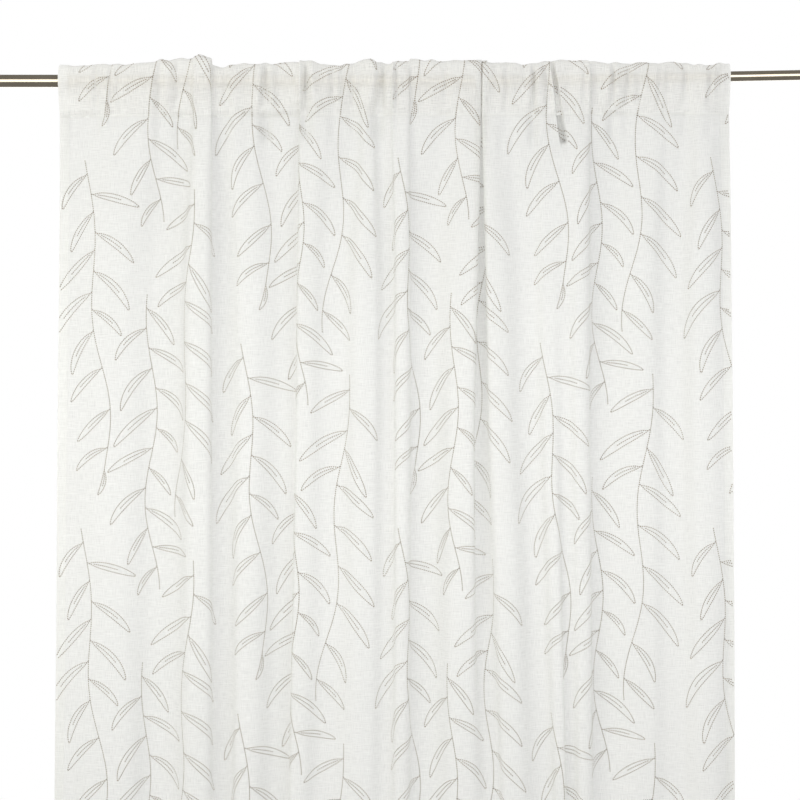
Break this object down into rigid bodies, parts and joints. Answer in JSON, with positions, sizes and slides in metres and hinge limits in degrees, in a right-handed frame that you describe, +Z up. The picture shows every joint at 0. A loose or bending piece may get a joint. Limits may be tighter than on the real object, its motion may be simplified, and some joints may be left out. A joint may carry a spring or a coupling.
{
  "type": "curtain panel on a rod",
  "caption": "Half-sheer curtain panel gathered by its rod pocket on a thin telescopic rod, hanging in soft uneven folds.",
  "frame": {"origin": "on the axis of the outer rod tube, in the middle of the panel's width, where the rod is held", "axes": "+Z up, +X to the right along the rod as seen from the room, -Y towards the room"},
  "size_m": [1.4001, 0.0593, 2.5168],
  "materials": {
    "cloth": "half-sheer off-white weave with a fine slub, matt",
    "steel": "fine brushed, satin"
  },
  "bodies": {
    "root": {"curtain_panel": "cloth", "outer_rod_tube": "steel", "inner_rod_tube": "steel"}
  },
  "joints": []
}
